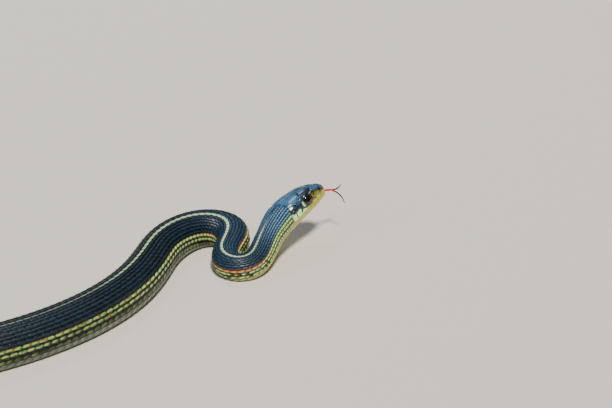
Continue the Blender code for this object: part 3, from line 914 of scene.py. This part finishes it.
tongueLook = {
    # forward of the snout, to the left, above the axis, half width, half thickness
    "arms": [
        [(-2.4, 0, -1.5, 0.55, 0.4), (0.2, 0.1, -1.5, 0.62, 0.46), (2.2, 0.6, -2.4, 0.62, 0.46),
         (4.0, 1.2, -3.5, 0.58, 0.36)],
        [(3.6, 1.3, -3.3, 0.36, 0.33), (5.6, 2.3, -4.4, 0.33, 0.3), (7.6, 3.0, -4.6, 0.26, 0.25),
         (9.2, 3.4, -4.0, 0.12, 0.12)],
        [(3.6, 1.0, -3.4, 0.36, 0.33), (5.2, 0.8, -5.3, 0.33, 0.3), (5.9, 0.0, -7.6, 0.26, 0.25),
         (5.6, -1.1, -10.2, 0.12, 0.12)]],
    "red": "#d81c08",
    "black": "#0a0809",
    "darkFrom": 3.6,
    "darkOver": 1.6,
    "rounding": 5,  # how many rings each way the corners of an arm are rounded over
}


def makeTongue():
    rings, sides = 40, 20
    reach = tongueLook["rounding"]
    weights = np.ones(2 * reach + 1) / (2 * reach + 1)
    look = linearPaints(tongueLook)
    angles = np.linspace(0, 2 * math.pi, sides, endpoint=False)[None, :, None]
    points, colours = [], []
    for arm in tongueLook["arms"]:
        rows = np.array(arm)
        k = np.linspace(0, len(rows) - 1, rings)
        values = np.stack([np.interp(k, range(len(rows)), column) for column in rows.T], -1)
        before = 2 * values[:1] - values[reach:0:-1]
        after = 2 * values[-1:] - values[-2:-2 - reach:-1]
        padded = np.concatenate([before, values, after])
        values = np.stack([np.convolve(column, weights, "valid") for column in padded.T], -1)
        run = unit(np.gradient(values[:, :3], axis=0))
        aside = unit(np.array([0, 1, 0]) - run[:, 1:2] * run)
        over = np.cross(run, aside)
        wide, thick = values[:, 3][:, None, None], values[:, 4][:, None, None]
        offsets = wide * np.sin(angles) * aside[:, None] + thick * np.cos(angles) * over[:, None]
        spots = values[:, None, :3] + offsets
        points.append((spinePoint(-spots[..., 0], spots[..., 1], spots[..., 2]) + place).reshape(-1, 3))
        dark = grow(spots[..., 0], tongueLook["darkFrom"], tongueLook["darkOver"])
        colours.append(mix(look["red"], look["black"], dark).reshape(-1, 3))
    faces = manyGrids(gridFaces(rings, sides, True)[:, ::-1], len(points), rings * sides)
    return meshOf("tongue_look", np.concatenate(points), faces, np.concatenate(colours))


# Adds a node with its settings and links, each link as (node, output)
def addNode(tree, kind, settings=None, links=None):
    node = tree.nodes.new(kind)
    for name, value in (settings or {}).items():
        if name in node.inputs:
            node.inputs[name].default_value = value
        else:
            setattr(node, name, value)
    for name, (source, output) in (links or {}).items():
        tree.links.new(source.outputs[output], node.inputs[name])
    return node


def newMaterial(name, settings):
    material = bpy.data.materials.new(name)
    material.use_nodes = True
    shader = material.node_tree.nodes["Principled BSDF"]
    for key, value in settings.items():
        shader.inputs[key].default_value = value
    return material, material.node_tree, shader


# Grain of the keratin in mm, drawn far coarser than the real one so that it shows, and how much it
# varies the roughness
grainLook = {"size": 0.22, "height": 0.05, "spread": 0.09}


# A material that takes its colour from the markings of the mesh
def markedMaterial(name, rough, grain, settings):
    material, tree, shader = newMaterial(name, settings | {"Roughness": rough, "Metallic": 0.0})
    paint = addNode(tree, "ShaderNodeAttribute", {"attribute_name": "markings"})
    tree.links.new(paint.outputs["Color"], shader.inputs["Base Color"])
    if grain:
        where = addNode(tree, "ShaderNodeTexCoord")
        scale = 1000 / grainLook["size"]
        noise = addNode(
            tree, "ShaderNodeTexNoise", {"Scale": scale, "Detail": 3.0, "Roughness": 0.6},
            {"Vector": (where, "Object")})
        relief = addNode(
            tree, "ShaderNodeBump", {"Strength": grain, "Distance": grainLook["height"] / 1000},
            {"Height": (noise, 0)})
        tree.links.new(relief.outputs["Normal"], shader.inputs["Normal"])
        low, high = rough - grainLook["spread"], rough + grainLook["spread"]
        spread = addNode(
            tree, "ShaderNodeMapRange", {"From Min": 0.3, "From Max": 0.7, "To Min": low, "To Max": high},
            {"Value": (noise, 0)})
        tree.links.new(spread.outputs["Result"], shader.inputs["Roughness"])
    return material


def dress(item, material):
    item.data.materials.clear()
    item.data.materials.append(material)


skin = makeSkin()
readerRows = [np.arange(0.05, 30, 0.15), np.arange(30, 140, 0.4), np.arange(140, 649.9, 0.8), [650]]
reader = Reader(Surface(np.concatenate(readerRows), columns=240))
scales = makeScales(reader)
belly = makeBelly(reader)
eyes = [makeEye(side) for side in (-1, 1)]
tongue = makeTongue()
say("eyes and tongue made")

# Keratin over pigmented skin. The thin clear outer layer of a snake that has shed lately gives the head
# a soft gloss, and the fine keels break it up on the scales.
keratin = {"IOR": 1.55, "Coat Weight": 0.25, "Coat Roughness": 0.15}
skinFinish = keratin | {"Coat Weight": 0.4}
dress(skin, markedMaterial("snake skin and head shields", rough=0.28, grain=0.25, settings=skinFinish))
scaleFinish = keratin | {"Coat Weight": 0, "Specular IOR Level": 0.25}
scaleMaterial = markedMaterial("keeled snake scales", rough=0.38, grain=0.3, settings=scaleFinish)
for item in scales:
    dress(item, scaleMaterial)
dress(belly, markedMaterial("smooth belly plates", rough=0.32, grain=0.15, settings=keratin))
# Wet cornea over a dark iris, with small sharp highlights
cornea = {"IOR": 1.38, "Coat Weight": 1.0, "Coat Roughness": 0.02}
eyeMaterial = markedMaterial("snake eye", rough=0.05, grain=0, settings=cornea)
for item in eyes:
    dress(item, eyeMaterial)
# Wet flesh, with a broad shine
wetFlesh = {"IOR": 1.4, "Coat Weight": 0.5, "Coat Roughness": 0.1}
dress(tongue, markedMaterial("snake tongue", rough=0.22, grain=0, settings=wetFlesh))

bodyNodes = [f"body_{k:02d}" for k in range(1, 14)]
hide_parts("head", "lower_jaw", "neck", *bodyNodes, "tail_1", "tail_2", "tail_3")
for item, node in zip(eyes, ("eye_right", "eye_left")):
    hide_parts(node)
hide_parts("tongue")
for item in [skin, belly, tongue] + scales + eyes:
    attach(item, "root")
say("pieces placed")

stageLook = {
    "floor": "#cfccc4",
    "floorSize": 6,
    "world": "#dfe8f2",
    "worldStrength": 0.15,
    "skyStrength": 0.75,  # how bright the world is where it is seen directly
    "sun": ((0.12, -0.4, 0.9), 10.0, 5.2, "#fff8ee"),  # direction, width in degrees, strength, colour
    "lampAim": (-0.05, 0, -0.01),  # what the lamps shine at, from the snout
    # name, place from there, size, power in watts, colour
    "lamps": [
        ("fill", (-0.7, -0.5, 0.45), 0.7, 1.5, "#dfe9ff"),
        ("rim", (-0.1, 0.5, 0.8), 0.25, 1.5, "#eef4ff"),
    ],
}
snout = Vector((spinePoint(0, 0, 0) + place) / 1000)


def makeStage():
    bpy.ops.mesh.primitive_plane_add(size=stageLook["floorSize"], location=(0, 0, 0))
    floor = bpy.context.active_object
    floor.name = "floor"
    # Matt painted table top, without highlights
    settings = {"Base Color": (*toLinear(stageLook["floor"]), 1), "Roughness": 0.8, "IOR": 1.45}
    dress(floor, newMaterial("pale matt table", settings)[0])
    world = bpy.data.worlds.new("studio")
    bpy.context.scene.world = world
    world.use_nodes = True
    background = world.node_tree.nodes["Background"]
    background.inputs["Color"].default_value = (*toLinear(stageLook["world"]), 1)
    seen = addNode(world.node_tree, "ShaderNodeLightPath")
    strength = addNode(
        world.node_tree, "ShaderNodeMapRange",
        {"To Min": stageLook["worldStrength"], "To Max": stageLook["skyStrength"]},
        {"Value": (seen, "Is Camera Ray")})
    world.node_tree.links.new(strength.outputs["Result"], background.inputs["Strength"])
    aim = snout + Vector(stageLook["lampAim"])
    direction, width, power, tint = stageLook["sun"]
    sun = bpy.data.lights.new("sun", "SUN")
    sun.angle = math.radians(width)
    sun.energy = power
    sun.color = toLinear(tint)
    item = bpy.data.objects.new("sun", sun)
    item.rotation_euler = Vector(direction).to_track_quat("Z", "Y").to_euler()
    bpy.context.scene.collection.objects.link(item)
    for name, where, size, power, tint in stageLook["lamps"]:
        lamp = bpy.data.lights.new(name, "AREA")
        lamp.shape = "DISK"
        lamp.size = size
        lamp.energy = power
        lamp.color = toLinear(tint)
        item = bpy.data.objects.new(name, lamp)
        item.location = aim + Vector(where)
        item.rotation_euler = (aim - item.location).to_track_quat("-Z", "Y").to_euler()
        bpy.context.scene.collection.objects.link(item)


# The camera looks down on the snake from the side, its aim left of the snout and below it
cameraLook = {
    "tilt": 28.0,
    "lens": 135.0,
    "distance": 0.918,
    "snoutRight": 0.00664,
    "snoutAbove": 0.0066,
}


def makeCamera():
    look = cameraLook
    tilt = math.radians(look["tilt"])
    up = Vector((0, math.sin(tilt), math.cos(tilt)))
    ahead = Vector((0, math.cos(tilt), -math.sin(tilt)))
    lens = bpy.data.cameras.new("camera")
    lens.lens = look["lens"]
    lens.sensor_width = 36
    lens.clip_start = 0.01
    camera = bpy.data.objects.new("camera", lens)
    aim = snout - Vector((look["snoutRight"], 0, 0)) - up * look["snoutAbove"]
    camera.location = aim - ahead * look["distance"]
    camera.rotation_euler = (math.radians(90 - look["tilt"]), 0, 0)
    bpy.context.scene.collection.objects.link(camera)
    bpy.context.scene.camera = camera


makeStage()
makeCamera()
say("stage set")
